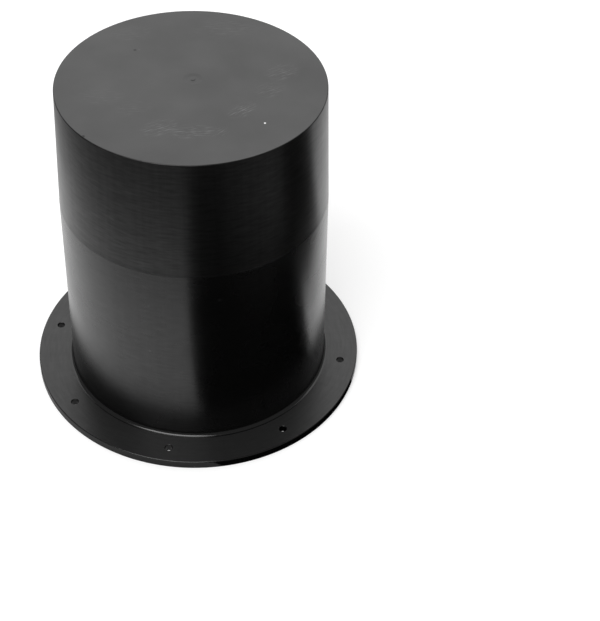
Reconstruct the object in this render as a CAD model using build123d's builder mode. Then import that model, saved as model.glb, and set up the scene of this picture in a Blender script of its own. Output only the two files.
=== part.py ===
"""Pipe penetration sleeve, moulded in one piece.

The sleeve stands on its flange, which is nailed to the formwork of a floor slab. Concrete is
poured round the wall, and the closed end keeps it out of the hole. Later the closed end is
taken off and a pipe runs through. Sizes are in millimetres. The origin is the centre of the
mouth, on the underside of the flange, and +Z runs up the sleeve to the closed end.
"""

import os
from math import radians, tan

from build123d import *

# Body
sleeve_height = 203.2
clear_bore = 143.5
wall_thickness = 3.2
cap_thickness = 3.2

# The outside narrows in two drafts that meet at a fine line round the wall
draft_line_height = 129.6
upper_draft = 2.45
lower_draft = 0.87

# Flange
flange_width = 21.6
flange_thickness = 5.0

# Nail holes through the flange
nail_hole_count = 8
nail_hole_diameter = 4.4
nail_hole_edge_distance = 10.3
nail_hole_bevel = 0.35

# Corners: a fillet where the wall meets the flange, and broken edges elsewhere
root_fillet_radius = 2.4
cap_edge_bevel = 0.5
flange_edge_bevel = 0.7
mouth_edge_bevel = 0.6

# Gate mark, the shallow dish and sheared stub where the plastic entered the mould
gate_offset = 3.7
gate_dish_diameter = 11.0
gate_floor_diameter = 6.4
gate_dish_depth = 0.4
gate_stub_diameter = 2.4
gate_stub_height = 0.3


def outside_radius(height):
    """Outside radius of the wall at a height, from the closed end down through both drafts."""
    cap_radius = clear_bore / 2 + wall_thickness
    above_line = sleeve_height - max(height, draft_line_height)
    below_line = draft_line_height - min(height, draft_line_height)
    return cap_radius + above_line * tan(radians(upper_draft)) + below_line * tan(radians(lower_draft))


def inside_radius(height):
    """Inside radius of the wall at a height."""
    return outside_radius(height) - wall_thickness


# Corners of the half section, as radius and height
root_radius = outside_radius(flange_thickness)
flange_radius = root_radius + flange_width
nail_circle_radius = flange_radius - nail_hole_edge_distance
cap_underside = sleeve_height - cap_thickness

mouth_corner = (inside_radius(0), 0)
flange_bottom_corner = (flange_radius, 0)
flange_top_corner = (flange_radius, flange_thickness)
root_corner = (root_radius, flange_thickness)
outer_draft_corner = (outside_radius(draft_line_height), draft_line_height)
cap_corner = (outside_radius(sleeve_height), sleeve_height)
cap_centre = (0, sleeve_height)
cap_underside_centre = (0, cap_underside)
cap_inside_corner = (inside_radius(cap_underside), cap_underside)
inner_draft_corner = (inside_radius(draft_line_height), draft_line_height)

bevelled_corners = [
    (mouth_corner, mouth_edge_bevel),
    (flange_top_corner, flange_edge_bevel),
    (cap_corner, cap_edge_bevel),
]


def nearest_vertex(sketch, corner):
    """The sketch's vertex that lies at a corner of the half section."""
    return sketch.vertices().sort_by_distance((*corner, 0))[0]


with BuildPart() as sleeve:
    # Half section of wall, flange and closed end, turned about the sleeve's axis
    with BuildSketch(Plane.XZ) as half_section:
        with BuildLine():
            Polyline(
                mouth_corner,
                flange_bottom_corner,
                flange_top_corner,
                root_corner,
                outer_draft_corner,
                cap_corner,
                cap_centre,
                cap_underside_centre,
                cap_inside_corner,
                inner_draft_corner,
                close=True,
            )
        make_face()
        fillet(nearest_vertex(half_section, root_corner), root_fillet_radius)
        for corner, bevel in bevelled_corners:
            chamfer(nearest_vertex(half_section, corner), bevel)
    revolve(axis=Axis.Z)

    # Nail holes, with a small bevel at their upper edges
    with Locations(Plane.XY.offset(flange_thickness)):
        with PolarLocations(nail_circle_radius, nail_hole_count):
            Hole(nail_hole_diameter / 2, depth=flange_thickness)
    hole_edges = sleeve.edges(Select.LAST).filter_by(GeomType.CIRCLE)
    chamfer(hole_edges.group_by(Axis.Z)[-1], nail_hole_bevel)

    # Gate dish, cut down from the closed end about an axis of its own
    gate_centre = (0, gate_offset, sleeve_height)
    with BuildSketch(Plane(origin=gate_centre, x_dir=(1, 0, 0), z_dir=(0, -1, 0))):
        with BuildLine():
            Polyline(
                (0, 0),
                (gate_dish_diameter / 2, 0),
                (gate_floor_diameter / 2, -gate_dish_depth),
                (0, -gate_dish_depth),
                close=True,
            )
        make_face()
    revolve(axis=Axis(gate_centre, (0, 0, 1)), mode=Mode.SUBTRACT)

    # Sheared stub of the gate, standing in the dish
    with BuildSketch(Plane(origin=gate_centre).offset(-gate_dish_depth)):
        Circle(gate_stub_diameter / 2)
    extrude(amount=gate_stub_height)

os.makedirs("parts", exist_ok=True)
sleeve.part.label = "sleeve"
export_step(sleeve.part, "parts/sleeve.step")
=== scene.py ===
"""A pipe penetration sleeve, dressed for its portrait.

The sleeve is one moulding of black polypropylene: a tapered round wall, closed at the top,
that flows through a root fillet into a flange with nail holes. It is made here as one piece,
from surfaces worked out with numpy, and each face of the mould gets a finish of its own.
Lengths are in millimetres unless a name says otherwise, and MM turns them to metres.
"""

from __future__ import annotations

import logging
from dataclasses import dataclass, field
from enum import Enum
from math import atan2, cos, pi, radians, sin, tan

import bpy
import numpy as np
from mathutils import Matrix, Vector

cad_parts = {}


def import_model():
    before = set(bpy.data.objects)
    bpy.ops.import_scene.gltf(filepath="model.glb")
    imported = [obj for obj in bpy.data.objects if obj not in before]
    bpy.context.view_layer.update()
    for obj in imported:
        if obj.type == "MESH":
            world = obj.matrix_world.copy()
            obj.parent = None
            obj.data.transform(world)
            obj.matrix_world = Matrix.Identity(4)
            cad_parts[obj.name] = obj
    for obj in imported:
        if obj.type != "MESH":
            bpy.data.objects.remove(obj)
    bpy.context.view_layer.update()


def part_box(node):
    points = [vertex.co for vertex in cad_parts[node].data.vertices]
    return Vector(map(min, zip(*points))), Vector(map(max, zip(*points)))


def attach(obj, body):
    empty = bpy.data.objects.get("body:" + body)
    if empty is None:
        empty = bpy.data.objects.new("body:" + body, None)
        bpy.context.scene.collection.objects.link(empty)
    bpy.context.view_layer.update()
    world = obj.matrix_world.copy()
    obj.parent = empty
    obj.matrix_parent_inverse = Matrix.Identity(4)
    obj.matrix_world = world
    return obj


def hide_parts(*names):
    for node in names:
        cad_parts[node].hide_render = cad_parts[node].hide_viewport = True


MM = 0.001
CAD_NODE = "sleeve"
BODY = "root"

# Sockets of the Mix node when it mixes colours, which share their names with its others
MIX_SHARE, MIX_UNDER, MIX_OVER, MIX_RESULT = 0, 6, 7, 2

log = logging.getLogger("sleeve")


class Face(Enum):
    """The faces of the mould, in the order of the piece's material slots."""

    CLOSED_END = 0
    UPPER_WALL = 1
    LOWER_WALL = 2
    FLANGE_TOP = 3
    FLANGE_EDGE = 4
    UNDERSIDE = 5
    BORE = 6
    ROOT = 7


def linear_colour(hex_code: str) -> tuple[float, float, float, float]:
    """Turns an sRGB hex colour to linear light.

    Args:
        hex_code: The colour as #rrggbb.

    Returns:
        Red, green, blue and alpha, from 0 to 1.
    """
    srgb = np.array([int(hex_code[i : i + 2], 16) for i in (1, 3, 5)]) / 255
    linear = np.where(srgb <= 0.04045, srgb / 12.92, ((srgb + 0.055) / 1.055) ** 2.4)
    return (*(float(c) for c in linear), 1.0)


@dataclass
class Patch:
    """A grid of surface points, with a finish.

    Rows run along the profile and columns run anticlockwise, seen from outside, so that the
    way from row to row, crossed with the way from column to column, points out of the plastic.
    """

    points: np.ndarray
    normals: np.ndarray
    face: Face

    def turned(self, angle: float) -> Patch:
        """Turns the patch about the Z axis.

        Args:
            angle: The turn in radians.

        Returns:
            The turned copy.
        """
        turn = np.array([[cos(angle), sin(angle), 0], [-sin(angle), cos(angle), 0], [0, 0, 1]])
        return Patch(self.points @ turn, self.normals @ turn, self.face)


def turn_between(first: np.ndarray, second: np.ndarray) -> float:
    """Gives the angle from one direction to another, positive to the left."""
    cross = first[0] * second[1] - first[1] * second[0]
    return atan2(cross, first @ second)


@dataclass
class Outline:
    """A line of straight runs in radius and height, with an arc at each corner.

    It is walked with the plastic on the right hand, so an outward normal is the run's
    direction turned a quarter to the left.
    """

    corners: list[tuple[float, float]]
    radii: list[float]
    spacing: float = 4.0
    arc_steps: int = 6
    shortest_run: float = 0.001

    def sample(self) -> tuple[np.ndarray, np.ndarray]:
        """Places points along the runs and round the arcs.

        An arc of radius q at a corner that turns by t touches both runs q tan(t / 2) from the
        corner. Its points are its centre, plus q times a normal that swings evenly from the
        first run's normal to the second run's.

        Returns:
            The points and their normals, each as rows of radius and height.
        """
        corners = np.array(self.corners, float)
        runs = np.diff(corners, axis=0)
        ways = runs / np.linalg.norm(runs, axis=1, keepdims=True)
        outward = np.stack([-ways[:, 1], ways[:, 0]], axis=1)
        points, normals = [corners[:1]], [outward[:1]]
        start = corners[0]
        for i, radius in enumerate([*self.radii, 0.0]):
            last = i == len(self.radii)
            turn = 0.0 if last else turn_between(ways[i], ways[i + 1])
            end = corners[i + 1] - ways[i] * radius * abs(tan(turn / 2))
            length = np.linalg.norm(end - start)
            steps = int(np.ceil(length / self.spacing)) if length > self.shortest_run else 0
            share = np.linspace(0, 1, steps + 1)[1:, None]
            points.append(start + share * (end - start))
            normals.append(np.repeat(outward[i : i + 1], steps, axis=0))
            if not last:
                first_angle = atan2(outward[i][1], outward[i][0])
                swing = first_angle + turn * np.linspace(0, 1, self.arc_steps + 1)[1:]
                arc_normals = np.stack([np.cos(swing), np.sin(swing)], axis=1)
                side = -1.0 if turn < 0 else 1.0
                centre = end + outward[i] * radius * side
                points.append(centre - side * radius * arc_normals)
                normals.append(arc_normals)
                start = points[-1][-1]
        return np.concatenate(points), np.concatenate(normals)


def revolved(
    profile: tuple[np.ndarray, np.ndarray],
    angles: np.ndarray,
    face: Face,
    centre: tuple[float, float] = (0.0, 0.0),
) -> Patch:
    """Turns a profile about an upright axis.

    A point of radius r and height z goes to (r cos a, r sin a, z) for each angle a, moved
    sideways to the axis.

    Args:
        profile: The profile's points and normals, as rows of radius and height.
        angles: The angles round the axis, in radians, with the first again at the end, as
            one row for the whole profile or a row for each of its points.
        face: The mould face that the patch belongs to.
        centre: Where the axis stands.

    Returns:
        The turned patch.
    """
    points, normals = profile
    angles = np.broadcast_to(angles, (len(points), np.shape(angles)[-1]))
    around = np.stack([np.cos(angles), np.sin(angles)], axis=2)

    def swept(rows: np.ndarray) -> np.ndarray:
        """Spreads rows of radius and height round the axis."""
        flat = rows[:, None, :1] * around
        height = np.repeat(rows[:, None, 1:], around.shape[1], axis=1)
        return np.concatenate([flat, height], axis=2)

    place = np.array([*centre, 0.0])
    return Patch(swept(points) + place, swept(normals), face)


@dataclass
class SleeveSizes:
    """The sleeve's driving sizes, and the corners of its section that follow from them."""

    height: float
    flange_radius: float
    wall: float = 3.2
    cap: float = 3.2
    draft_line_height: float = 129.6
    upper_draft: float = 2.45
    lower_draft: float = 0.87
    flange_width: float = 21.6
    flange_thickness: float = 5.0
    columns: int = 320

    @classmethod
    def from_frame(cls) -> SleeveSizes:
        """Reads the height and the flange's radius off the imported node's box."""
        low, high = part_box(CAD_NODE)
        return cls(height=high.z / MM, flange_radius=(high.x - low.x) / 2 / MM)

    @property
    def root_radius(self) -> float:
        """Outside radius of the wall where it meets the top of the flange."""
        return self.flange_radius - self.flange_width

    @property
    def line_radius(self) -> float:
        """Outside radius of the wall at the line between its two drafts."""
        rise = self.draft_line_height - self.flange_thickness
        return self.root_radius - rise * tan(radians(self.lower_draft))

    @property
    def cap_radius(self) -> float:
        """Radius of the closed end's sharp corner, before it is rounded."""
        rise = self.height - self.draft_line_height
        return self.line_radius - rise * tan(radians(self.upper_draft))

    @property
    def mouth_radius(self) -> float:
        """Inside radius of the wall at the mouth."""
        flare = self.flange_thickness * tan(radians(self.lower_draft))
        return self.root_radius + flare - self.wall

    def angles(self) -> np.ndarray:
        """Column angles all the way round, from the middle between two nail holes."""
        return np.linspace(0, 2 * pi, self.columns + 1) - pi / 8


@dataclass
class ClosedEnd:
    """The flat closed end and the gate mark where the plastic entered the mould."""

    sizes: SleeveSizes
    edge_round: float = 0.5
    gate_offset: float = 3.7
    dish_radius: float = 5.5
    dish_floor_radius: float = 3.2
    dish_depth: float = 0.4
    stub_radius: float = 1.2
    stub_height: float = 0.3
    rim: float = 0.5
    rings: int = 24

    def gate_mark(self) -> Patch:
        """Turns the shallow dish and the sheared stub in it about the gate's own axis."""
        top = self.sizes.height
        floor = top - self.dish_depth
        outline = Outline(
            corners=[
                (0, floor + self.stub_height),
                (self.stub_radius, floor + self.stub_height),
                (self.stub_radius, floor),
                (self.dish_floor_radius, floor),
                (self.dish_radius, top),
                (self.dish_radius + self.rim, top),
            ],
            radii=[0.1, 0.12, 0.3, 0.4],
            spacing=0.5,
            arc_steps=4,
        )
        profile = outline.sample()
        return revolved(profile, self.sizes.angles(), Face.CLOSED_END, (0, self.gate_offset))

    def plate(self) -> Patch:
        """Fills the flat between the gate mark's circle and the start of the rounded edge.

        Each point is a share s of the way from the inner circle, about the gate, to the outer
        circle, about the sleeve's axis, both taken at the same angle.
        """
        angles = self.sizes.angles()
        around = np.stack([np.cos(angles), np.sin(angles)], axis=1)
        inner = around * (self.dish_radius + self.rim) + (0, self.gate_offset)
        outer = around * self.flat_radius()
        share = np.linspace(0, 1, self.rings + 1)[:, None, None]
        flat = inner + share * (outer - inner)
        points = np.concatenate([flat, np.full((*flat.shape[:2], 1), self.sizes.height)], axis=2)
        normals = np.zeros_like(points)
        normals[..., 2] = 1
        return Patch(points, normals, Face.CLOSED_END)

    def flat_radius(self) -> float:
        """Radius where the flat ends and the rounded edge begins."""
        turn = radians(90 - self.sizes.upper_draft)
        return self.sizes.cap_radius - self.edge_round * tan(turn / 2)

    def patches(self) -> list[Patch]:
        """Gives the gate mark and the plate round it."""
        return [self.gate_mark(), self.plate()]


@dataclass
class Wall:
    """The outside, from the closed end's edge down both drafts and out through the root."""

    sizes: SleeveSizes
    start_radius: float
    edge_round: float = 0.5
    root_fillet: float = 2.4
    line_step: float = 0.05
    line_width: float = 0.5
    arc_steps: int = 12

    def flange_start(self) -> float:
        """Radius where the root fillet runs out into the flange."""
        turn = radians(90 - self.sizes.lower_draft)
        return self.sizes.root_radius + self.root_fillet * tan(turn / 2)

    def patches(self) -> list[Patch]:
        """Turns the profile in three stretches.

        They meet at the line between the drafts, and where the root fillet begins.
        """
        s = self.sizes
        above = (s.line_radius - self.line_step, s.draft_line_height + self.line_width)
        upper = Outline(
            corners=[(self.start_radius, s.height), (s.cap_radius, s.height), above],
            radii=[self.edge_round],
        )
        lower = Outline(
            corners=[
                above,
                (s.line_radius, s.draft_line_height),
                (s.root_radius, s.flange_thickness),
                (self.flange_start(), s.flange_thickness),
            ],
            radii=[0.25, self.root_fillet],
            arc_steps=self.arc_steps,
        )
        angles = s.angles()
        points, normals = lower.sample()
        root = len(points) - self.arc_steps - 1
        return [
            revolved(upper.sample(), angles, Face.UPPER_WALL),
            revolved((points[: root + 1], normals[: root + 1]), angles, Face.LOWER_WALL),
            revolved((points[root:], normals[root:]), angles, Face.ROOT),
        ]


@dataclass
class Flange:
    """The nailing flange: both flat faces, the rim, and the nail holes with softened edges."""

    sizes: SleeveSizes
    inner_radius: float
    mouth_round: float = 0.6
    rim_round: float = 0.7
    rim_foot_round: float = 0.2
    hole_count: int = 8
    hole_radius: float = 2.2
    hole_edge_distance: float = 10.3
    hole_round: float = 0.35
    side_steps: int = 8
    ring_steps: int = 10

    def hole_centre(self) -> tuple[float, float]:
        """Centre of the nail hole that stands on the X axis."""
        return (self.sizes.flange_radius - self.hole_edge_distance, 0.0)

    def sector_rim(self, inner: float, outer: float) -> np.ndarray:
        """Walks round one hole's share of the flange, anticlockwise from an inner corner.

        Args:
            inner: The sector's inner radius.
            outer: The sector's outer radius.

        Returns:
            The points of the closed walk, as rows of x and y, the first again at the end.
        """
        half = pi / self.hole_count
        across = np.linspace(-half, half, self.sizes.columns // self.hole_count + 1)
        outward = np.linspace(inner, outer, self.side_steps + 1)
        side = np.ones(self.side_steps)
        arc = np.ones(len(across) - 1)
        angle = np.concatenate([-half * side, across[:-1], half * side, across[::-1]])
        radius = np.concatenate([outward[:-1], outer * arc, outward[:0:-1], inner * arc, [inner]])
        return np.stack([radius * np.cos(angle), radius * np.sin(angle)], axis=1)

    def flat(self, inner: float, outer: float, face: Face) -> tuple[Patch, np.ndarray]:
        """Fills one sector between its rim and the nail hole.

        Each point is a share of the way from the hole's circle to the rim, along the ray from
        the hole's centre. The shares are squares, so the rings crowd towards the hole.

        Args:
            inner: The sector's inner radius.
            outer: The sector's outer radius.
            face: The flange's top or its underside.

        Returns:
            The patch, and the angles of its columns about the hole's axis.
        """
        rim = self.sector_rim(inner, outer)
        ray = rim - self.hole_centre()
        angles = np.unwrap(np.arctan2(ray[:, 1], ray[:, 0]))
        opening = self.hole_radius + self.hole_round
        circle = opening * np.stack([np.cos(angles), np.sin(angles)], axis=1) + self.hole_centre()
        share = (np.linspace(0, 1, self.ring_steps + 1) ** 2)[:, None, None]
        flat = circle + share * (rim - circle)
        is_top = face is Face.FLANGE_TOP
        height = self.sizes.flange_thickness if is_top else 0.0
        points = np.concatenate([flat, np.full((*flat.shape[:2], 1), height)], axis=2)
        normals = np.zeros_like(points)
        normals[..., 2] = 1 if is_top else -1
        if not is_top:
            points, normals = points[::-1], normals[::-1]
        return Patch(points, normals, face), angles

    def hole(self, under_angles: np.ndarray, top_angles: np.ndarray) -> Patch:
        """Turns the hole's wall, with both of its soft edges, about the hole's axis.

        The columns' angles go evenly, with height, from those of the underside's columns to
        those of the top's, so that the wall meets both faces point to point.

        Args:
            under_angles: The angles of the underside's columns about that axis.
            top_angles: The angles of the top's columns.

        Returns:
            The patch that joins the two flat faces.
        """
        opening, thickness = self.hole_radius + self.hole_round, self.sizes.flange_thickness
        outline = Outline(
            corners=[
                (opening, 0),
                (self.hole_radius, 0),
                (self.hole_radius, thickness),
                (opening, thickness),
            ],
            radii=[self.hole_round, self.hole_round],
            spacing=1.2,
            arc_steps=4,
        )
        profile = outline.sample()
        share = profile[0][:, 1:] / thickness
        angles = under_angles + share * (top_angles - under_angles)
        return revolved(profile, angles, Face.FLANGE_EDGE, self.hole_centre())

    def rim(self) -> Patch:
        """Turns the flange's rounded outer edge."""
        radius, thickness = self.sizes.flange_radius, self.sizes.flange_thickness
        outline = Outline(
            corners=[
                (radius - self.rim_round, thickness),
                (radius, thickness),
                (radius, 0),
                (radius - self.rim_foot_round, 0),
            ],
            radii=[self.rim_round, self.rim_foot_round],
            spacing=1.0,
        )
        return revolved(outline.sample(), self.sizes.angles(), Face.FLANGE_EDGE)

    def patches(self) -> list[Patch]:
        """Gives the rim, then both faces and the hole of each sector."""
        outer = self.sizes.flange_radius
        mouth = self.sizes.mouth_radius + self.mouth_round
        top, top_angles = self.flat(self.inner_radius, outer - self.rim_round, Face.FLANGE_TOP)
        under, under_angles = self.flat(mouth, outer - self.rim_foot_round, Face.UNDERSIDE)
        sector = [top, under, self.hole(under_angles, top_angles)]
        turns = np.arange(self.hole_count) * 2 * pi / self.hole_count
        return [self.rim(), *(patch.turned(turn) for turn in turns for patch in sector)]


@dataclass
class Bore:
    """The inside, from the mouth up to the closed end's underside."""

    sizes: SleeveSizes
    mouth_round: float = 0.6
    corner_round: float = 1.0

    def patches(self) -> list[Patch]:
        """Turns the inside profile, which ends in a pole on the axis."""
        s = self.sizes
        ceiling = s.height - s.cap
        narrowing = (ceiling - s.draft_line_height) * tan(radians(s.upper_draft))
        line_radius = s.line_radius - s.wall
        outline = Outline(
            corners=[
                (s.mouth_radius + self.mouth_round, 0),
                (s.mouth_radius, 0),
                (line_radius, s.draft_line_height),
                (line_radius - narrowing, ceiling),
                (0, ceiling),
            ],
            radii=[self.mouth_round, 4.0, self.corner_round],
            spacing=5.0,
        )
        return [revolved(outline.sample(), s.angles(), Face.BORE)]


@dataclass
class Moulding:
    """One closed mesh, sewn from patches whose edges meet point to point."""

    name: str
    patches: list[Patch] = field(default_factory=list)
    weld: float = 0.001

    def faces(self, index: np.ndarray) -> tuple[np.ndarray, np.ndarray]:
        """Lists a grid's quads, less the doubled corner of those at a pole.

        Args:
            index: The vertex number of each grid point.

        Returns:
            The corners of all faces one after another, and each face's corner count.
        """
        corners = [index[:-1, :-1], index[1:, :-1], index[1:, 1:], index[:-1, 1:]]
        quads = np.stack(corners, axis=-1).reshape(-1, 4)
        kept = quads != np.roll(quads, 1, axis=1)
        return quads[kept], kept.sum(axis=1)

    def sewn(self) -> tuple[np.ndarray, np.ndarray, np.ndarray, np.ndarray, np.ndarray]:
        """Merges the points that coincide; build counts the open edges afterwards.

        Returns:
            The vertices, their normals, the face corners, the corner counts and the faces'
            material numbers.
        """
        points = np.concatenate([patch.points.reshape(-1, 3) for patch in self.patches])
        normals = np.concatenate([patch.normals.reshape(-1, 3) for patch in self.patches])
        keys = np.round(points / self.weld).astype(np.int64)
        _, first, number = np.unique(keys, axis=0, return_index=True, return_inverse=True)
        number = number.reshape(-1)
        summed = np.zeros((len(first), 3))
        np.add.at(summed, number, normals)
        summed /= np.linalg.norm(summed, axis=1, keepdims=True)
        corners, counts, materials = [], [], []
        start = 0
        for patch in self.patches:
            shape = patch.points.shape[:2]
            end = start + shape[0] * shape[1]
            patch_corners, patch_counts = self.faces(number[start:end].reshape(shape))
            corners.append(patch_corners)
            counts.append(patch_counts)
            materials.append(np.full(len(patch_counts), patch.face.value))
            start = end
        return (
            points[first],
            summed,
            np.concatenate(corners),
            np.concatenate(counts),
            np.concatenate(materials),
        )

    def build(self, materials: dict[Face, bpy.types.Material]) -> bpy.types.Object:
        """Makes the object, in metres, with its place in its mesh.

        Args:
            materials: The material of each mould face.

        Returns:
            The new object.
        """
        vertices, normals, corners, counts, slots = self.sewn()
        mesh = bpy.data.meshes.new(self.name)
        mesh.vertices.add(len(vertices))
        mesh.vertices.foreach_set("co", (vertices * MM).astype(np.float32).ravel())
        mesh.loops.add(len(corners))
        mesh.loops.foreach_set("vertex_index", corners.astype(np.int32))
        mesh.polygons.add(len(counts))
        starts = np.concatenate([[0], np.cumsum(counts)[:-1]])
        mesh.polygons.foreach_set("loop_start", starts.astype(np.int32))
        for face in Face:
            mesh.materials.append(materials[face])
        mesh.polygons.foreach_set("material_index", slots.astype(np.int32))
        mesh.update(calc_edges=True)
        open_edges = open_edge_count(mesh)
        if mesh.validate() or open_edges:
            raise ValueError(f"{self.name} has {open_edges} open edges or bad faces")
        mesh.polygons.foreach_set("use_smooth", np.ones(len(counts), bool))
        mesh.normals_split_custom_set_from_vertices(normals.tolist())
        made = bpy.data.objects.new(self.name, mesh)
        bpy.context.scene.collection.objects.link(made)
        log.info("%s: %d vertices, %d faces", self.name, len(vertices), len(counts))
        return made


def open_edge_count(mesh: bpy.types.Mesh) -> int:
    """Counts the edges that don't have exactly two faces."""
    edge_of_corner = np.zeros(len(mesh.loops), np.int32)
    mesh.loops.foreach_get("edge_index", edge_of_corner)
    return int((np.bincount(edge_of_corner, minlength=len(mesh.edges)) != 2).sum())


def add_node(
    tree: bpy.types.NodeTree, kind: str, inputs: dict | None = None, **settings: object
) -> bpy.types.Node:
    """Adds a node, with its settings, its values and its links.

    Args:
        tree: The node tree that gets it.
        kind: The node's type.
        inputs: For each input's name or number, a value, or the output that feeds it.
        settings: The node's own properties.

    Returns:
        The new node.
    """
    node = tree.nodes.new(kind)
    for name, value in settings.items():
        setattr(node, name, value)
    for key, value in (inputs or {}).items():
        if isinstance(value, bpy.types.NodeSocket):
            tree.links.new(value, node.inputs[key])
        else:
            node.inputs[key].default_value = value
    return node


@dataclass(frozen=True)
class Spot:
    """A round, small spot: a grain of dust, or painted shade where a pit or a nick would be."""

    place: tuple[float, float, float]
    radius: float
    colour: str

    def mask(self, tree: bpy.types.NodeTree, place: bpy.types.NodeSocket) -> bpy.types.NodeSocket:
        """Gives 1 within the spot and 0 outside, by the distance from its middle."""
        centre = tuple(c * MM for c in self.place)
        away = add_node(tree, "ShaderNodeVectorMath", {0: place, 1: centre}, operation="DISTANCE")
        return add_node(
            tree,
            "ShaderNodeMapRange",
            {
                "Value": away.outputs["Value"],
                "From Min": self.radius * MM,
                "From Max": self.radius / 2 * MM,
            },
            interpolation_type="SMOOTHSTEP",
        ).outputs["Result"]


@dataclass(frozen=True)
class Scuff:
    """A patch of fine scratches that all run one way, where the plastic has gone grey."""

    x: float
    y: float
    half_length: float
    half_width: float
    heading: float
    strength: float
    hair_length: float = 7.0
    hair_spacing: float = 0.9

    def mask(self, tree: bpy.types.NodeTree, place: bpy.types.NodeSocket) -> bpy.types.NodeSocket:
        """Gives the strength of the scratches.

        The place is turned into the scuff's own frame, with u along the scratches. The patch
        fades out towards the ellipse of its half sizes, and in it a noise drawn out along u
        keeps only its crests. Real scratches are about 0.1 mm wide, and are drawn coarser.

        Args:
            tree: The material's node tree.
            place: The point of the surface.

        Returns:
            The mask, from 0 to the scuff's strength.
        """
        own = add_node(
            tree,
            "ShaderNodeMapping",
            {
                "Vector": place,
                "Location": (self.x * MM, self.y * MM, 0),
                "Rotation": (0, 0, radians(self.heading)),
                "Scale": (MM, MM, 1),
            },
            vector_type="TEXTURE",
        ).outputs["Vector"]
        shares = (1 / self.half_length, 1 / self.half_width, 0)
        ellipse = add_node(tree, "ShaderNodeVectorMath", {0: own, 1: shares}, operation="MULTIPLY")
        reach = add_node(
            tree, "ShaderNodeVectorMath", {0: ellipse.outputs["Vector"]}, operation="LENGTH"
        )
        fade = add_node(
            tree,
            "ShaderNodeMapRange",
            {
                "Value": reach.outputs["Value"],
                "From Min": 1.0,
                "From Max": 0.2,
                "To Max": self.strength,
            },
            interpolation_type="SMOOTHSTEP",
        )
        drawn_out = (1 / self.hair_length, 1 / self.hair_spacing, 0)
        stretched = add_node(
            tree, "ShaderNodeVectorMath", {0: own, 1: drawn_out}, operation="MULTIPLY"
        )
        hairs = add_node(
            tree,
            "ShaderNodeTexNoise",
            {"Vector": stretched.outputs["Vector"], "Scale": 1.0, "Detail": 3.0},
        )
        crests = add_node(
            tree,
            "ShaderNodeMapRange",
            {"Value": hairs.outputs["Fac"], "From Min": 0.5, "From Max": 0.66},
        )
        return add_node(
            tree,
            "ShaderNodeMath",
            {0: fade.outputs["Result"], 1: crests.outputs["Result"]},
            operation="MULTIPLY",
        ).outputs["Value"]


@dataclass(frozen=True)
class Polypropylene:
    """Black moulded polypropylene, carbon filled, so no light comes back from inside it.

    What the eye gets is the surface: a satin reflection that is thin at a steep look and
    strong at a grazing one, spread by the marks that the mould was machined with.
    """

    name: str
    colour: str = "#050505"
    roughness: float = 0.30
    roughness_spread: float = 0.015
    across_marks: float = 0.5
    ior: float = 1.49
    cloud: float = 24.0
    spots: tuple[Spot, ...] = ()

    def build(self) -> bpy.types.Material:
        """Makes the material, with a shader that the finish then dresses."""
        material = bpy.data.materials.new(self.name)
        material.use_nodes = True
        tree = material.node_tree
        tree.nodes.clear()
        shader = add_node(
            tree,
            "ShaderNodeBsdfPrincipled",
            {
                "Base Color": linear_colour(self.colour),
                "Roughness": self.roughness,
                "IOR": self.ior,
                "Anisotropic": self.across_marks,
                "Anisotropic Rotation": 0.25,
            },
        )
        if self.across_marks:
            tangent = add_node(tree, "ShaderNodeTangent", direction_type="RADIAL", axis="Z")
            tree.links.new(tangent.outputs["Tangent"], shader.inputs["Tangent"])
        add_node(tree, "ShaderNodeOutputMaterial", {"Surface": shader.outputs["BSDF"]})
        place = add_node(tree, "ShaderNodeTexCoord").outputs["Object"]
        self.dress(tree, shader, place)
        self.speckle(tree, shader, place)
        return material

    def dress(
        self, tree: bpy.types.NodeTree, shader: bpy.types.Node, place: bpy.types.NodeSocket
    ) -> None:
        """Adds the finish's own patterns; the bare plastic is only a little cloudy."""
        self.cloud_gloss(tree, shader, place)

    def cloud_gloss(
        self, tree: bpy.types.NodeTree, shader: bpy.types.Node, place: bpy.types.NodeSocket
    ) -> None:
        """Makes the gloss drift a little from place to place, as handling leaves it."""
        drift = add_node(
            tree,
            "ShaderNodeTexNoise",
            {"Vector": place, "Scale": 1 / (self.cloud * MM), "Detail": 2.0},
        )
        gloss = add_node(
            tree,
            "ShaderNodeMapRange",
            {
                "Value": drift.outputs["Fac"],
                "From Min": 0.35,
                "From Max": 0.65,
                "To Min": self.roughness - self.roughness_spread,
                "To Max": self.roughness + self.roughness_spread,
            },
        )
        tree.links.new(gloss.outputs["Result"], shader.inputs["Roughness"])

    def speckle(
        self, tree: bpy.types.NodeTree, shader: bpy.types.Node, place: bpy.types.NodeSocket
    ) -> None:
        """Lays the spots over whatever colour the shader has by now."""
        for spot in self.spots:
            tint(tree, shader, spot.mask(tree, place), spot.colour)


def tint(
    tree: bpy.types.NodeTree, shader: bpy.types.Node, mask: bpy.types.NodeSocket, colour: str
) -> None:
    """Lays a colour over a shader's base colour, as far as a mask says."""
    base = shader.inputs["Base Color"]
    under = base.links[0].from_socket if base.is_linked else tuple(base.default_value)
    over = linear_colour(colour)
    mixed = add_node(
        tree,
        "ShaderNodeMix",
        {MIX_SHARE: mask, MIX_UNDER: under, MIX_OVER: over},
        data_type="RGBA",
    )
    tree.links.new(mixed.outputs[MIX_RESULT], base)


@dataclass(frozen=True)
class Lines:
    """Fine lines on a turned face.

    They have a length round it, a pitch across it, a depth, and a part of the gloss that
    comes and goes with them.
    """

    around: float
    across: float
    depth: float
    sheen: float


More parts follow.
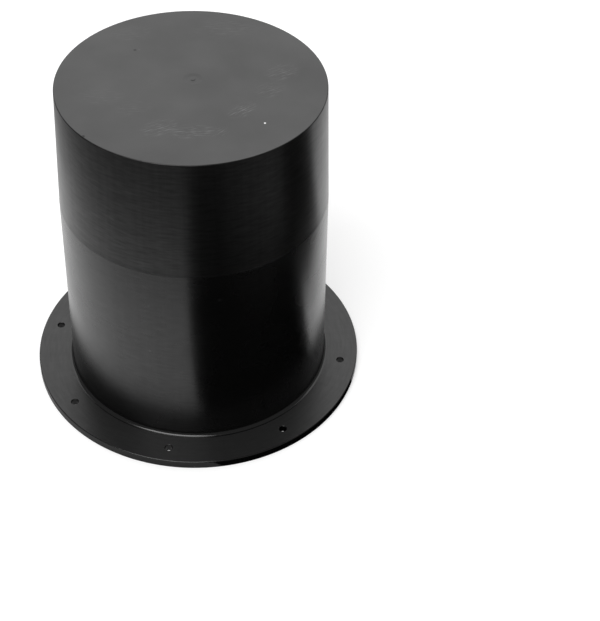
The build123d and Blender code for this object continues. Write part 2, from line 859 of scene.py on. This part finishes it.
@dataclass(frozen=True)
class TurnedFace(Polypropylene):
    """A mould face turned on a lathe and lightly polished.

    Its tool marks run round as fine lines that fade in and out, and the moulding has picked
    up faint drag streaks along the draw.
    """

    turning_radius: float = 80.0
    lines: tuple[Lines, ...] = (Lines(9.0, 1.4, 0.006, 0.12), Lines(3.0, 90.0, 0.012, 0.05))

    def dress(
        self, tree: bpy.types.NodeTree, shader: bpy.types.Node, place: bpy.types.NodeSocket
    ) -> None:
        """Adds each set of lines as bump and as sheen, one on top of the other.

        Real marks are 0.1 to 0.3 mm apart, too fine to show, so they are drawn coarser.
        """
        self.cloud_gloss(tree, shader, place)
        sheen_socket = shader.inputs["Specular IOR Level"]
        sheen = sheen_socket.default_value - sum(lines.sheen for lines in self.lines)
        normal = None
        for lines in self.lines:
            pattern = add_node(
                tree,
                "ShaderNodeTexNoise",
                {"Vector": self.turned_place(tree, place, lines), "Scale": 1.0, "Detail": 2.0},
            )
            values = {"Height": pattern.outputs["Fac"], "Distance": lines.depth * MM}
            if normal is not None:
                values["Normal"] = normal
            normal = add_node(tree, "ShaderNodeBump", values).outputs["Normal"]
            sheen = add_node(
                tree,
                "ShaderNodeMath",
                {0: pattern.outputs["Fac"], 1: 2 * lines.sheen, 2: sheen},
                operation="MULTIPLY_ADD",
            ).outputs["Value"]
        tree.links.new(normal, shader.inputs["Normal"])
        tree.links.new(sheen, sheen_socket)

    def turned_place(
        self, tree: bpy.types.NodeTree, place: bpy.types.NodeSocket, lines: Lines
    ) -> bpy.types.NodeSocket:
        """Gives the place in a frame that follows the turning.

        A point's direction from the axis is laid on the turning circle and divided by the
        lines' length. Its radius plus its height is divided by their pitch. On the wall the
        radius hardly changes and on the flange the height doesn't, so lines run round both.

        Args:
            tree: The material's node tree.
            place: The point of the surface.
            lines: The set of lines.

        Returns:
            The coordinate for a noise of scale 1.
        """
        flat = add_node(
            tree, "ShaderNodeVectorMath", {0: place, 1: (1, 1, 0)}, operation="MULTIPLY"
        ).outputs["Vector"]
        radius = add_node(tree, "ShaderNodeVectorMath", {0: flat}, operation="LENGTH")
        way = add_node(tree, "ShaderNodeVectorMath", {0: flat}, operation="NORMALIZE")
        height = add_node(tree, "ShaderNodeSeparateXYZ", {0: place}).outputs["Z"]
        along = add_node(tree, "ShaderNodeMath", {0: radius.outputs["Value"], 1: height})
        steps = add_node(
            tree,
            "ShaderNodeMath",
            {0: along.outputs["Value"], 1: 1 / (lines.across * MM)},
            operation="MULTIPLY",
        )
        round_it = add_node(
            tree,
            "ShaderNodeVectorMath",
            {0: way.outputs["Vector"], "Scale": self.turning_radius / lines.around},
            operation="SCALE",
        )
        lifted = add_node(tree, "ShaderNodeCombineXYZ", {"Z": steps.outputs["Value"]})
        return add_node(
            tree,
            "ShaderNodeVectorMath",
            {0: round_it.outputs["Vector"], 1: lifted.outputs["Vector"]},
        ).outputs["Vector"]


@dataclass(frozen=True)
class EtchedFace(Polypropylene):
    """A mould face left as the spark eroder made it, matt with a fine even grain.

    The grain scatters its reflection, and its colour is set greyer than the wall's: partly for
    the dust and wear of handling, and partly as painted light, the sheen that the lamps
    overhead lay on this top face. Handling has left it a little cloudy, and scratches show grey.
    """

    across_marks: float = 0.0
    grain: float = 0.9
    grain_depth: float = 0.02
    haze: float = 32.0
    haze_colour: str = "#454545"
    scuff_colour: str = "#6c6c6c"
    scuffs: tuple[Scuff, ...] = ()

    def dress(
        self, tree: bpy.types.NodeTree, shader: bpy.types.Node, place: bpy.types.NodeSocket
    ) -> None:
        """Adds the grain as bump, then the haze and the scuffs.

        Real grain is about 0.05 mm across, too fine to show, so it is drawn coarser.
        """
        self.cloud_gloss(tree, shader, place)
        grain = add_node(
            tree,
            "ShaderNodeTexNoise",
            {"Vector": place, "Scale": 1 / (self.grain * MM), "Detail": 2.0},
        )
        bump = add_node(
            tree,
            "ShaderNodeBump",
            {"Height": grain.outputs["Fac"], "Distance": self.grain_depth * MM},
        )
        tree.links.new(bump.outputs["Normal"], shader.inputs["Normal"])
        drift = add_node(
            tree,
            "ShaderNodeTexNoise",
            {"Vector": place, "Scale": 1 / (self.haze * MM), "Detail": 3.0},
        )
        cloudy = add_node(
            tree,
            "ShaderNodeMapRange",
            {"Value": drift.outputs["Fac"], "From Min": 0.3, "From Max": 0.7},
        )
        tint(tree, shader, cloudy.outputs["Result"], self.haze_colour)
        for scuff in self.scuffs:
            tint(tree, shader, scuff.mask(tree, place), self.scuff_colour)


CAP_SCUFFS = (
    Scuff(-8.0, -44.5, 13.0, 9.0, 38.0, 0.7),
    Scuff(9.0, -44.5, 18.0, 8.0, 16.0, 0.7),
    Scuff(31.5, -20.5, 11.0, 7.0, 52.0, 0.9),
    Scuff(43.5, 1.0, 11.0, 9.0, 42.0, 0.5),
    Scuff(47.0, 19.0, 12.0, 10.0, 42.0, 0.6),
    Scuff(24.0, -42.0, 7.0, 5.0, 60.0, 0.5),
    Scuff(8.5, 58.0, 24.0, 13.0, 16.0, 0.25),
    Scuff(-43.5, 42.0, 17.0, 11.0, 25.0, 0.2),
    Scuff(-45.0, -22.5, 17.0, 11.0, 10.0, 0.2),
    Scuff(-26.0, -29.5, 13.0, 9.0, 20.0, 0.25),
)
CAP_SPOTS = (
    Spot((45.7, -29.9, 203.2), 0.7, "#f4f4f4"),
    # painted shade in a small pit, with a paler spot beside it; the mesh has no pit
    Spot((-37.7, 25.9, 203.2), 1.1, "#101010"),
    Spot((-35.5, 26.8, 203.2), 0.8, "#484848"),
    # painted shade in a nick of the front-left edge; the mesh has no nick
    Spot((-45.0, -59.0, 203.2), 1.2, "#000000"),
)
WALL_SPOTS = (
    Spot((28.5, -73.0, 112.3), 0.9, "#181818"),
    Spot((-11.4, -78.2, 71.3), 0.8, "#282828"),
    Spot((-10.6, -77.7, 106.0), 0.8, "#202020"),
)


def sleeve_materials() -> dict[Face, bpy.types.Material]:
    """Makes the finish of every mould face."""
    finishes = {
        Face.CLOSED_END: EtchedFace(
            "polypropylene_spark_eroded",
            # partly painted light: this grey stands in for the overhead lamps' sheen on the top, and
            # partly for dust and handling
            colour="#3c3c3c",
            roughness=0.55,
            scuffs=CAP_SCUFFS,
            spots=CAP_SPOTS,
        ),
        Face.UPPER_WALL: TurnedFace(
            "polypropylene_turned_upper",
            roughness=0.31,
            lines=(Lines(9.0, 1.4, 0.008, 0.22), Lines(3.0, 90.0, 0.016, 0.08)),
        ),
        Face.LOWER_WALL: TurnedFace(
            "polypropylene_turned_lower", roughness=0.27, spots=WALL_SPOTS
        ),
        # painted light: the flange top's colour is lighter than the wall's, for the light it catches
        # from above and off the wall
        Face.FLANGE_TOP: TurnedFace("polypropylene_faced_flange_painted_light", colour="#1e1e1e"),
        Face.FLANGE_EDGE: TurnedFace("polypropylene_flange_edge", roughness=0.2),
        Face.UNDERSIDE: TurnedFace("polypropylene_faced_underside", roughness=0.4),
        Face.BORE: TurnedFace("polypropylene_core_side", roughness=0.36),
        Face.ROOT: Polypropylene("polypropylene_polished_root", roughness=0.15),
    }
    return {face: finish.build() for face, finish in finishes.items()}


@dataclass
class PortraitCamera:
    """The camera: where it stands, which way it points, and its lens.

    The angles are a heading about Z from the +Y axis, a tilt below the horizon and a roll.
    """

    stand_off: float = 640.2
    height: float = 630.6
    sleeve_turn: float = 12.7
    heading: float = 5.735
    tilt: float = 43.02
    roll: float = 2.187
    focal_pixels: float = 1386.8
    frame_height_pixels: float = 621.0
    sensor: float = 36.0

    def place(self) -> bpy.types.Object:
        """Adds the camera and makes it the scene's own."""
        turn = radians(self.sleeve_turn)
        heading = radians(self.heading) - turn
        tilt, roll = radians(self.tilt), radians(self.roll)
        forward = Vector((sin(heading) * cos(tilt), cos(heading) * cos(tilt), -sin(tilt)))
        level = Vector((cos(heading), -sin(heading), 0))
        upright = level.cross(forward)
        right = level * cos(roll) + upright * sin(roll)
        up = upright * cos(roll) - level * sin(roll)
        data = bpy.data.cameras.new("portrait_camera")
        data.sensor_width = self.sensor
        data.lens = self.focal_pixels / self.frame_height_pixels * self.sensor
        data.clip_start, data.clip_end = 0.01, 100.0
        camera = bpy.data.objects.new("portrait_camera", data)
        bpy.context.scene.collection.objects.link(camera)
        camera.matrix_world = Matrix.Translation(
            Vector((self.stand_off * sin(turn), -self.stand_off * cos(turn), self.height)) * MM
        ) @ Matrix((right, up, -forward)).transposed().to_4x4()
        bpy.context.scene.camera = camera
        return camera


@dataclass
class SoftBox:
    """A square lamp that shines straight down."""

    name: str
    side: float
    centre: tuple[float, float, float]
    radiance: float

    def hang(self) -> None:
        """Adds the lamp, with the power that gives its face that radiance."""
        data = bpy.data.lights.new(self.name, "AREA")
        data.shape = "SQUARE"
        data.size = self.side * MM
        data.energy = self.radiance * pi * data.size**2
        lamp = bpy.data.objects.new(self.name, data)
        lamp.location = Vector(self.centre) * MM
        bpy.context.scene.collection.objects.link(lamp)


@dataclass
class Studio:
    """A white floor and surround, two soft boxes overhead, and a card of painted shade to the right.

    Places are as the camera sees them, with x to its right and y away from it, from the
    sleeve's axis. In reflections the floor is a pool of light that falls off outwards and
    in the sleeve's own shade. The card lies where reflections alone see it: a black sheet
    that paints shade into the reflection on the wall's right half.
    """

    turn: float
    floor_radius: float = 8000.0
    floor_colour: str = "#e6e6e6"
    floor_glow: float = 0.3
    pool_centre: tuple[float, float] = (30.0, 40.0)
    pool_inner: float = 205.0
    pool_outer: float = 442.0
    pool_floor: float = 0.1
    pool_peak: float = 1.2
    shade_inner: float = 101.6
    shade_outer: float = 122.0
    shade_floor: float = 0.32
    surround_diffuse: float = 0.5
    surround_reflected: float = 0.3
    ceiling: tuple[float, float, float] = (150.0, 2600.0, 1300.0)
    ceiling_side: float = 3800.0
    ceiling_radiance: float = 1.25
    key: tuple[float, float, float] = (-430.0, -700.0, 1350.0)
    key_side: float = 950.0
    key_radiance: float = 5.5
    card_height: float = 0.5
    card_corners: tuple[tuple[float, float], ...] = (
        (-4.0, -113.0),
        (-30.0, -230.0),
        (-30.0, -300.0),
        (-16.0, -400.0),
        (80.0, -400.0),
        (135.0, -295.0),
        (212.0, -212.0),
        (280.0, -130.0),
        (430.0, -110.0),
        (430.0, 90.0),
        (290.0, 88.0),
        (210.0, 72.0),
        (172.0, 8.0),
        (160.0, -18.0),
        (112.0, -22.0),
    )

    def place(self, x: float, y: float, z: float = 0.0) -> tuple[float, float, float]:
        """Turns a place as the camera sees it to the sleeve's own frame."""
        angle = radians(self.turn)
        return (x * cos(angle) - y * sin(angle), x * sin(angle) + y * cos(angle), z)

    def build(self) -> None:
        """Adds the world, the floor, the card and the lamps."""
        self.surround()
        self.floor()
        self.painted_shade_card()
        ceiling, key = self.place(*self.ceiling), self.place(*self.key)
        SoftBox("ceiling_soft_box", self.ceiling_side, ceiling, self.ceiling_radiance).hang()
        SoftBox("key_soft_box", self.key_side, key, self.key_radiance).hang()
        bpy.context.scene.view_settings.view_transform = "Standard"

    def seen_share(self, tree: bpy.types.NodeTree, rays: tuple[str, ...]) -> bpy.types.NodeSocket:
        """Gives 1 to the named kinds of ray and 0 to the rest."""
        path = add_node(tree, "ShaderNodeLightPath").outputs
        share = path[rays[0]]
        for name in rays[1:]:
            share = add_node(
                tree, "ShaderNodeMath", {0: share, 1: path[name]}, operation="MAXIMUM"
            ).outputs["Value"]
        return share

    def surround(self) -> None:
        """Makes the world white to the eye, dimmer in reflections, and plain light elsewhere."""
        world = bpy.data.worlds.new("white_surround")
        bpy.context.scene.world = world
        world.use_nodes = True
        tree = world.node_tree
        tree.nodes.clear()
        eye = self.seen_share(tree, ("Is Camera Ray", "Is Transmission Ray"))
        lit = add_node(
            tree,
            "ShaderNodeMapRange",
            {
                "Value": self.seen_share(tree, ("Is Glossy Ray",)),
                "To Min": self.surround_diffuse,
                "To Max": self.surround_reflected,
            },
        )
        strength = add_node(
            tree, "ShaderNodeMath", {0: eye, 1: lit.outputs["Result"]}, operation="MAXIMUM"
        )
        shade = add_node(
            tree,
            "ShaderNodeBackground",
            {"Color": (1, 1, 1, 1), "Strength": strength.outputs["Value"]},
        )
        add_node(tree, "ShaderNodeOutputWorld", {"Surface": shade.outputs["Background"]})

    def sheet(self, name: str, corners: np.ndarray, material: bpy.types.Material) -> bpy.types.Object:
        """Lays one flat face on the stage, through corners given anticlockwise."""
        mesh = bpy.data.meshes.new(name)
        mesh.from_pydata((corners * MM).tolist(), [], [list(range(len(corners)))])
        mesh.materials.append(material)
        sheet = bpy.data.objects.new(name, mesh)
        bpy.context.scene.collection.objects.link(sheet)
        return sheet

    def pool(self, tree: bpy.types.NodeTree) -> bpy.types.NodeSocket:
        """Gives the floor's light in reflections.

        It falls smoothly between two distances from the pool's middle, and again, inwards,
        between two distances from the sleeve's axis.
        """
        place = add_node(tree, "ShaderNodeTexCoord").outputs["Object"]
        falls = (
            (
                tuple(c * MM for c in self.place(*self.pool_centre)),
                (self.pool_inner, self.pool_outer),
                (self.pool_peak, self.pool_floor),
            ),
            ((0, 0, 0), (self.shade_inner, self.shade_outer), (self.shade_floor, 1.0)),
        )
        light = None
        for centre, (near, far), (near_light, far_light) in falls:
            away = add_node(
                tree, "ShaderNodeVectorMath", {0: place, 1: centre}, operation="DISTANCE"
            )
            fall = add_node(
                tree,
                "ShaderNodeMapRange",
                {
                    "Value": away.outputs["Value"],
                    "From Min": near * MM,
                    "From Max": far * MM,
                    "To Min": near_light,
                    "To Max": far_light,
                },
                interpolation_type="SMOOTHSTEP",
            ).outputs["Result"]
            if light is None:
                light = fall
            else:
                light = add_node(
                    tree, "ShaderNodeMath", {0: light, 1: fall}, operation="MULTIPLY"
                ).outputs["Value"]
        return light

    def floor(self) -> None:
        """Lays the white floor, which keeps the sleeve's shadow for the eye."""
        material = bpy.data.materials.new("white_paper")
        material.use_nodes = True
        tree = material.node_tree
        tree.nodes.clear()
        paper = add_node(
            tree, "ShaderNodeBsdfDiffuse", {"Color": linear_colour(self.floor_colour)}
        ).outputs["BSDF"]
        glow = add_node(tree, "ShaderNodeEmission", {"Strength": self.floor_glow})
        lifted = add_node(
            tree, "ShaderNodeAddShader", {0: paper, 1: glow.outputs["Emission"]}
        ).outputs["Shader"]
        eye = self.seen_share(tree, ("Is Camera Ray", "Is Transmission Ray"))
        seen = add_node(tree, "ShaderNodeMixShader", {"Fac": eye, 1: paper, 2: lifted})
        pool = add_node(tree, "ShaderNodeEmission", {"Strength": self.pool(tree)})
        reflected = self.seen_share(tree, ("Is Glossy Ray",))
        mixed = add_node(
            tree,
            "ShaderNodeMixShader",
            {"Fac": reflected, 1: seen.outputs["Shader"], 2: pool.outputs["Emission"]},
        )
        add_node(tree, "ShaderNodeOutputMaterial", {"Surface": mixed.outputs["Shader"]})
        angles = np.linspace(0, 2 * pi, 64, endpoint=False)
        ring = np.stack([np.cos(angles), np.sin(angles), 0 * angles], axis=1)
        self.sheet("floor", ring * self.floor_radius, material)

    def painted_shade_card(self) -> None:
        """Lays the card of painted shade, whose black reflection darkens the wall's right half."""
        material = bpy.data.materials.new("painted_shade_material")
        material.use_nodes = True
        tree = material.node_tree
        tree.nodes.clear()
        # painted shade: this black face shows only in reflections, where it darkens the wall's right
        # half
        painted_black = add_node(tree, "ShaderNodeEmission", {"Strength": 0.0}).outputs["Emission"]
        add_node(tree, "ShaderNodeOutputMaterial", {"Surface": painted_black})
        corners = [self.place(x, y, self.card_height) for x, y in self.card_corners]
        card = self.sheet("painted_shade_card", np.array(corners), material)
        card.visible_camera = card.visible_diffuse = card.visible_shadow = False
        card.visible_transmission = card.visible_volume_scatter = False


def main() -> None:
    """Builds the sleeve and the studio round it."""
    logging.basicConfig(level=logging.INFO, format="%(name)s: %(message)s")
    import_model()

    sizes = SleeveSizes.from_frame()
    closed_end = ClosedEnd(sizes)
    wall = Wall(sizes, start_radius=closed_end.flat_radius())
    flange = Flange(sizes, inner_radius=wall.flange_start())
    bore = Bore(sizes)
    moulding = Moulding("sleeve_moulding")
    for part in (closed_end, wall, flange, bore):
        moulding.patches += part.patches()
        log.info("%s: %d patches so far", type(part).__name__, len(moulding.patches))
    sleeve = moulding.build(sleeve_materials())
    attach(sleeve, BODY)
    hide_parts(CAD_NODE)

    camera = PortraitCamera()
    camera.place()
    Studio(turn=camera.sleeve_turn).build()


if __name__ == "__main__":
    main()
